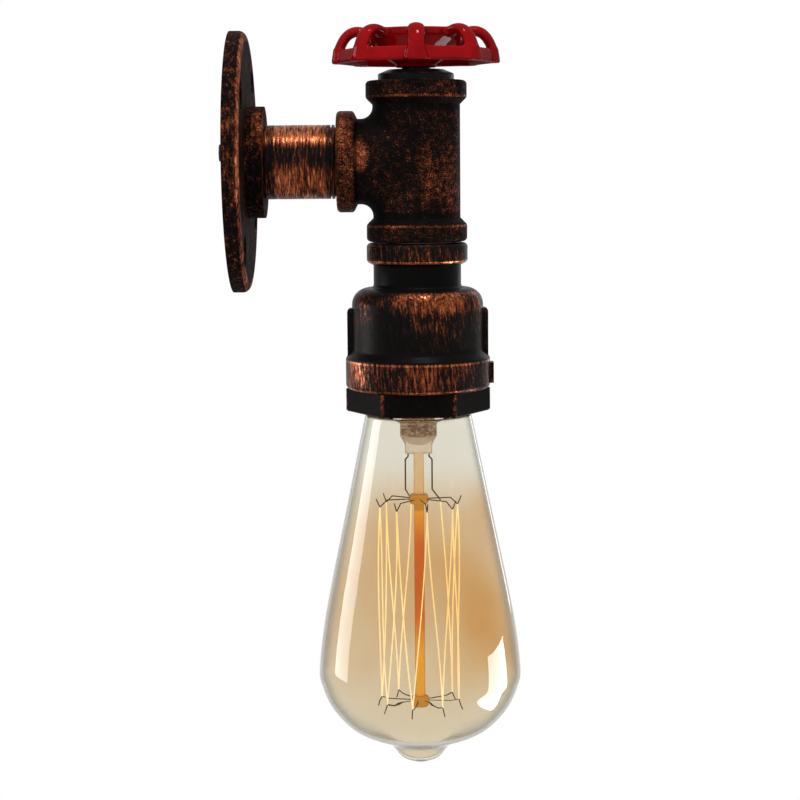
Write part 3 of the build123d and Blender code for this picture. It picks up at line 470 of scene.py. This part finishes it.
# %% Cast handwheel
voxel = 0.0003
melt_passes = 18
wheel = copy_of(nodes["handwheel"])
bpy.ops.object.mode_set(mode="EDIT")
bpy.ops.mesh.select_all(action="SELECT")
bpy.ops.mesh.remove_doubles(threshold=0.000002)
bpy.ops.object.mode_set(mode="OBJECT")
wheel_low, wheel_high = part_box("handwheel")
wheel = joined("cast_handwheel", [wheel] + feet)
skin = wheel.modifiers.new("skin", "REMESH")
skin.mode, skin.voxel_size, skin.use_smooth_shade = "VOXEL", voxel, True
bpy.ops.object.modifier_apply(modifier="skin")
melt = wheel.modifiers.new("melt", "SMOOTH")
melt.factor, melt.iterations = 0.5, melt_passes
bpy.ops.object.modifier_apply(modifier="melt")
wheel.data.materials.clear()
wheel.data.materials.append(enamel)
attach(wheel, "wheel")
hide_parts("handwheel")
print("handwheel", [round(v, 4) for v in wheel.dimensions], len(wheel.data.polygons), "faces")
print("CAD wheel", [round(b - a, 4) for a, b in zip(wheel_low, wheel_high)])

# %% [markdown]
# ## Black paint and plain metals
# The plug under the wheel is painted black and was never rubbed, so a dark tone and slow
# waves in its gloss are enough.

# %% Black paint on the plug
black, place = finish("black_enamel", specular_ior_level=0.06, roughness=0.32)
waves = place.noise(300, detail=3)
tone = waves.step(0.4, 0.7).mix((0.006, 0.006, 0.006), (0.014, 0.013, 0.013))
dress(feed(black, base_color=tone, normal=waves.bump(0.00012)), "top_plug")

# %% [markdown]
# Turned metal keeps the tool's marks as fine rings round its axis, and picks up a slight
# stain. The run stands upright, so noise that is squeezed along z gives the rings. One
# function makes every metal, each with its own colour and dullness.


# %% Plain metals
def turned_metal(name, colour, dull, *names):
    """Machined metal with fine marks round the run's axis."""
    material, place = finish(name, metallic=1.0)
    marks = place.noise((120, 120, 5200), detail=2)
    stain = place.noise(180, detail=3)
    stained = tuple(c * 0.72 for c in colour)
    shade = stain.step(0.35, 0.75).mix(stained, colour)
    feed(material, base_color=shade, roughness=dull + stain * 0.2, normal=marks.bump(0.00001))
    dress(material, *names)


turned_metal("bright_steel", (0.55, 0.55, 0.54), 0.2,
             "wheel_spindle", "spindle_clip", "lock_washer", "wheel_nut", "pinch_screws")
turned_metal("blackened_steel", (0.035, 0.030, 0.028), 0.45, "thrust_washer")
turned_metal("plain_pipe", (0.24, 0.22, 0.20), 0.35, "close_nipple")
turned_metal("brass", (0.70, 0.48, 0.19), 0.2,
             "earth_ring", "centre_contact", "live_terminal", "neutral_terminal", "shell_rivets")
turned_metal("lamp_brass", (0.78, 0.66, 0.40), 0.18, "screw_shell", "bulb_cap")
turned_metal("solder", (0.55, 0.54, 0.52), 0.4, "cap_contact")
turned_metal("dark_wire", (0.10, 0.060, 0.030), 0.35, "lead_wires", "upper_hooks", "lower_hooks")

# %% [markdown]
# What is left hardly shows: the moulded base, the card sleeve, the sheaths of the wires, the
# sleeve at the wall and the black glass in the cap. They share a faint grain, and differ in
# colour and dullness.


# %% Moulded and woven parts
def moulded(name, colour, dull, *names):
    """Plastic, card or glaze with a faint grain."""
    material, place = finish(name)
    grain = place.noise(900, detail=2)
    darker = tuple(c * 0.8 for c in colour)
    shade = grain.step(0.3, 0.7).mix(darker, colour)
    feed(material, base_color=shade, roughness=dull + grain * 0.1, normal=grain.bump(0.00002))
    dress(material, *names)


moulded("moulded_base", (0.06, 0.042, 0.034), 0.3, "lampholder_base")
moulded("card_sleeve", (0.42, 0.33, 0.22), 0.75, "shell_insulator")
moulded("brown_core", (0.20, 0.085, 0.04), 0.5, "live_wire")
moulded("blue_core", (0.05, 0.16, 0.45), 0.5, "neutral_wire")
moulded("green_core", (0.30, 0.46, 0.06), 0.5, "earth_wire")
moulded("black_sleeve", (0.02, 0.02, 0.02), 0.7, "supply_sleeve")
moulded("black_glass", (0.012, 0.012, 0.014), 0.08, "cap_insulator")

# %% [markdown]
# ## The bulb's glass
# A bulb is blown, so its wall is an even 0.9 mm and its outline has no corner but the one
# under the cap. A sphere could be stretched to it, but turning it is closer to how it is
# made: a circle at the neck is extruded ring by ring down to the pip, where the last ring
# closes to a point, and a Solidify modifier gives the wall. CAD's facets would show in the
# refraction, so this smooth shell stands for its node.


# %% A smooth line through a few points
def on_curve(a, b, c, d, t):
    """Where a curve through a, b, c and d is at t, on its way from b to c."""
    bend = 2 * a - 5 * b + 4 * c - d
    twist = 3 * b - a - 3 * c + d
    return 0.5 * (2 * b + (c - a) * t + bend * t * t + twist * t ** 3)


def smooth_line(points, cuts, passes):
    """A curve through these (radius, height) pairs in short steps, evened out in passes."""
    line = [points[0]]
    ends = [points[0]] + list(points) + [points[-1]]
    for p0, p1, p2, p3 in zip(ends, ends[1:], ends[2:], ends[3:]):
        for k in range(1, cuts + 1):
            t = k / cuts
            line.append(tuple(on_curve(a, b, c, d, t) for a, b, c, d in zip(p0, p1, p2, p3)))
    for _ in range(passes):
        middle = [
            tuple((a + 2 * b + c) / 4 for a, b, c in zip(above, here, below))
            for above, here, below in zip(line, line[1:], line[2:])
        ]
        line = [line[0]] + middle + [line[-1]]
    return line


# %% A shell turned from a circle
def turned_shell(name, rings, sides):
    """Extrude a circle from ring to ring. A ring of no radius closes the shell in a point."""
    select_only()
    radius, height = rings[0]
    bpy.ops.mesh.primitive_circle_add(vertices=sides, radius=radius, location=(run_x, 0, height))
    piece = bpy.context.object
    piece.name = name
    bpy.ops.object.transform_apply(location=True)
    bpy.ops.object.mode_set(mode="EDIT")
    for (last_radius, last_height), (radius, height) in zip(rings, rings[1:]):
        down = (0, 0, height - last_height)
        bpy.ops.mesh.extrude_region_move(TRANSFORM_OT_translate={"value": down})
        if radius:
            size = radius / last_radius
            bpy.ops.transform.resize(value=(size, size, 1), center_override=(run_x, 0, height))
        else:
            bpy.ops.mesh.merge(type="CENTER")
    bpy.ops.mesh.select_all(action="SELECT")
    bpy.ops.mesh.normals_make_consistent(inside=False)
    bpy.ops.object.mode_set(mode="OBJECT")
    return piece


def give_wall(piece, thickness):
    """A wall of this thickness, inwards from the surface, with smooth shading."""
    wall = piece.modifiers.new("wall", "SOLIDIFY")
    wall.thickness, wall.offset, wall.use_even_offset = thickness, -1, True
    bpy.ops.object.modifier_apply(modifier="wall")
    bpy.ops.object.shade_smooth_by_angle(angle=radians(40))


# %% Glass envelope
glass_wall = 0.0009
neck = [                           # radius and height, from the cap down to the shoulder
    (0.0124, -0.07575), (0.0124, -0.0779), (0.01245, -0.07795), (0.0150, -0.07795),
    (0.01573, -0.0781), (0.01634, -0.07851), (0.01675, -0.07912),
]
blown = [                          # from the shoulder down to the pip
    (0.0169, -0.07985), (0.0230, -0.10915), (0.02965, -0.14135), (0.03195, -0.15915),
    (0.0314, -0.16435), (0.0288, -0.17085), (0.0240, -0.17680), (0.0190, -0.18015),
    (0.0118, -0.18315), (0.0087, -0.18560), (0.0060, -0.18880), (0.0010, -0.19090),
]
pip = [(0, -0.19095)]
outline = neck + smooth_line(blown, cuts=10, passes=8) + pip
envelope = turned_shell("blown_glass", outline, sides=128)
give_wall(envelope, glass_wall)
print("glass", len(envelope.data.polygons), "faces")

# %% [markdown]
# The glass has an amber lustre that is strongest halfway down and paler at both ends, and
# deeper on its right side as painted shade. It is given as the surface's own colour, which
# can change from place to place. Towards the outline one looks through more glass, so Layer
# Weight darkens the rim.

# %% Clear glass with an amber lustre
glass, place = finish("amber_glass", transmission_weight=1.0, roughness=0.0, ior=1.3)
x, _, z = place.axes()
cloud = place.noise((26, 26, 20), detail=2, shift=(0.02, 0, 0))
level = z.band(-0.150, -0.112, 0.020)
# The right side's deeper amber is painted shade.
painted_right_side = (x - run_x).step(-0.03, 0.03)
amber_and_painted_shade = level * (cloud.step(0.32, 0.68) * 0.55 + painted_right_side * 0.45)
clear = z.step(-0.135, -0.095).mix((0.81, 0.74, 0.61), (0.85, 0.83, 0.76))
tint = amber_and_painted_shade.mix(clear, (0.74, 0.51, 0.25))
rim = place.node("LayerWeight", {"Blend": 0.5}, out="Facing")
tint = rim.step(0.5, 0.86).mix(tint, (0.14, 0.14, 0.10))
envelope.data.materials.append(feed(glass, base_color=tint))
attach(envelope, "bulb")
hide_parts("glass_envelope")
print("made", glass.name)

# %% [markdown]
# ## The stem
# Inside the bulb a tube is pressed flat round the lead wires and runs on as a rod, with two
# buttons that hold the hooks. The rod looks lit in the photograph, deep orange halfway down,
# so it gets a faint glow of its own. The tube above the press is thin, and Alpha lets the
# white behind it through except at its edges.

# %% Glass stem
stem_glass, place = finish(
    "stem_glass", transmission_weight=0.35, roughness=0.1, ior=1.35, specular_ior_level=0.1,
    emission_strength=0.34
)
z = place.axes()[2]
veins = place.noise((420, 420, 700), detail=2)
clear = (z + veins * 0.004).step(-0.1040, -0.1000)
deep = z.band(-0.141, -0.122, 0.015)
warm = deep.mix((0.72, 0.43, 0.04), (0.60, 0.15, 0.0))
# Brown streaks on the flare near the top are a painted reflection, and Alpha keeps them solid.
painted_flare_reflection = z.band(-0.0846, -0.0798, 0.0012) * veins.band(0.46, 0.56, 0.03)
upper = painted_flare_reflection.mix((0.93, 0.72, 0.44), (0.26, 0.10, 0.03))
buttons = z.band(-0.1090, -0.1040, 0.0004).most(1 - z.step(-0.1692, -0.1684))
warm = buttons.mix(warm, (0.40, 0.16, 0.02))
upper = buttons.mix(upper, (0.40, 0.16, 0.02))
glow = clear.mix(deep.mix((0.92, 0.52, 0.02), (0.72, 0.22, 0.00)), (0.42, 0.30, 0.16))
edge = place.node("LayerWeight", {"Blend": 0.5}, out="Facing").step(0.25, 0.85)
tube = z.step(-0.0915, -0.0905)
solid = 1 - tube * (1 - edge.most(painted_flare_reflection)) * 0.6
colour = (edge * 0.75).mix(clear.mix(warm, upper), (0.22, 0.11, 0.03))
glow = (edge * 0.6).mix(tube.mix(glow, (0.10, 0.07, 0.04)), (0.10, 0.03, 0.00))
dress(feed(stem_glass, base_color=colour, emission_color=glow, alpha=solid), "glass_stem")

# %% [markdown]
# ## The filament
# One long filament runs down and up between the hooks. It is limp enough to bow a little in
# each stretch, and CAD's straight runs look like a ruler drew them. Each stretch is a Bezier
# curve between the same two eyes with its handles pushed aside, given a round bevel and
# turned into a mesh.


# %% Wire along a bowed line
def bowed_wire(start, end, bow_a, bow_b, thickness):
    """A round wire from start to end. Its handles lie off the straight line by bow_a and bow_b."""
    select_only()
    bpy.ops.curve.primitive_bezier_curve_add(location=(0, 0, 0))
    wire = bpy.context.object
    first, last = wire.data.splines[0].bezier_points
    for point in (first, last):
        point.handle_left_type = point.handle_right_type = "FREE"
    third = [(e - b) / 3 for b, e in zip(start, end)]
    first.co, last.co = start, end
    first.handle_right = [b + t + w for b, t, w in zip(start, third, bow_a)]
    last.handle_left = [e - t + w for e, t, w in zip(end, third, bow_b)]
    first.handle_left, last.handle_right = start, end
    wire.data.resolution_u = 10
    wire.data.bevel_depth = thickness / 2
    wire.data.bevel_resolution = 2
    wire.data.use_fill_caps = True
    bpy.ops.object.convert(target="MESH")
    return bpy.context.object


# %% Strung filament
eye_r, first_eye, sides = 0.0125, 101, 8
upper_eye_z, lower_eye_z = -0.10775, -0.17015


def eye(turn, height):
    angle = radians(first_eye + turn * 360 / sides)
    return (run_x + eye_r * cos(angle), eye_r * sin(angle), height)


strand_thickness = 0.00042         # wider than CAD's wire, to show as a bright line
across, along_view = 0.0002, 0.00012       # metres for each unit of bow, in x and in y
bows = (
    (6, -4), (-5, 3), (3, 5), (-7, -2), (2, -6), (8, 3), (-3, -5), (5, 2), (-6, 4), (4, -3),
    (-2, 6), (7, -5), (-4, -4), (3, 4),
)
strands = []
for k, (bow_a, bow_b) in enumerate(bows):
    top, bottom = eye((k + 1) // 2, upper_eye_z), eye(k // 2 + 0.5, lower_eye_z)
    bow_top = (bow_a * across, bow_b * along_view, 0)
    bow_bottom = (bow_b * across, bow_a * -along_view, 0)
    strands.append(bowed_wire(top, bottom, bow_top, bow_bottom, strand_thickness))
strung = joined("strung_filament", strands)
# The bulb is off, so the strands' glow is painted light: it makes them show as bright lines,
# whiter towards the bottom.
gold, place = finish("golden_filament", roughness=0.45, emission_strength=0.80)
grain = place.noise((900, 900, 120), detail=2)
paler = place.axes()[2].step(-0.165, -0.125)
warm = grain.step(0.3, 0.7).mix((0.86, 0.62, 0.28), (0.97, 0.84, 0.50))
lit = paler.mix((1.0, 0.92, 0.74), (1.0, 0.96, 0.56))
strung.data.materials.append(feed(gold, base_color=warm, emission_color=lit))
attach(strung, "bulb")
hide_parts("filament")
print("filament", len(strands), "stretches")

# %% [markdown]
# ## Studio
# The light hangs on a wall, but the photograph shows it on plain white. A floor stands below
# the view and takes the shadow. The world is white to the camera and to what glass and
# metal show, and dimmer to everything else, so the white never washes over the object.


# %% World
def seen_directly(tree):
    """1 for camera, glossy and transmission rays, and 0 for the light that falls on things."""
    path = tree.nodes.new("ShaderNodeLightPath")
    seen = Flow(path.outputs["Is Camera Ray"]).most(Flow(path.outputs["Is Glossy Ray"]))
    return seen.most(Flow(path.outputs["Is Transmission Ray"]))


world = bpy.data.worlds.new("studio")
bpy.context.scene.world = world
world.use_nodes = True
tree = world.node_tree
background = tree.nodes["Background"]
seen = seen_directly(tree)
ambient = 0.35                     # strength of the white that falls on things; seen, it is 1
strength = seen * (1 - ambient) + ambient
tree.links.new(strength.socket, background.inputs["Strength"])
background.inputs["Color"].default_value = (1, 1, 1, 1)
print("world", world.name, "lights things at", ambient)

# %% Floor
floor_size, floor_z = 6, -0.6
bpy.ops.mesh.primitive_plane_add(size=floor_size, location=(0, 0, floor_z))
floor = bpy.context.object
floor.name = "floor"
pale, place = finish("pale_floor", roughness=0.7)
grain = place.noise(30, detail=2)
feed(pale, base_color=grain.mix((0.78, 0.78, 0.78), (0.82, 0.82, 0.82)))
tree = pale.node_tree
seen = seen_directly(tree)
glow = tree.nodes.new("ShaderNodeEmission")
blend = tree.nodes.new("ShaderNodeMixShader")
tree.links.new(seen.socket, blend.inputs[0])
tree.links.new(tree.nodes["Principled BSDF"].outputs[0], blend.inputs[1])
tree.links.new(glow.outputs[0], blend.inputs[2])
tree.links.new(blend.outputs[0], tree.nodes["Material Output"].inputs["Surface"])
floor.data.materials.append(pale)
print("floor at", floor_z)

# %% [markdown]
# Two softboxes light the object. Three more are only there to be mirrored: they stand for
# the window reflections on the bulb, so they give no diffuse light. None of the lamps shows
# itself, directly or through the glass.


# %% Lamps
def softbox(name, place, aim, size, watts):
    """A rectangular lamp that faces a point."""
    data = bpy.data.lights.new(name, "AREA")
    data.shape = "RECTANGLE"
    data.size, data.size_y = size
    data.energy = watts
    lamp = bpy.data.objects.new(name, data)
    bpy.context.scene.collection.objects.link(lamp)
    lamp.location = place
    lamp.visible_camera = lamp.visible_transmission = False    # only its light and reflection show
    towards = Vector(aim) - lamp.location
    lamp.rotation_euler = towards.to_track_quat("-Z", "Y").to_euler()
    print("lamp", name, watts, "W")
    return lamp


middle = (run_x, 0, -0.03)
bulb_middle = (run_x, 0, -0.13)
key = softbox("key_softbox", (-0.35, -1.0, 0.55), middle, (0.9, 0.9), 9.5)
key.visible_glossy = False         # its square reflection would cross the bulb's front
softbox("top_softbox", (0.15, -0.25, 0.85), middle, (0.16, 0.16), 5)
for card in (
    softbox("left_softbox", (-0.67, 0.13, 0.02), bulb_middle, (0.32, 0.64), 6.5),
    softbox("right_strip", (0.48, 0.74, 0.02), bulb_middle, (0.07, 0.6), 0.4),
    softbox("low_window", (0.38, 0.03, -0.29), (run_x, 0, -0.155), (0.20, 0.25), 3.2),
):
    card.visible_diffuse = False   # these three are only there to be mirrored
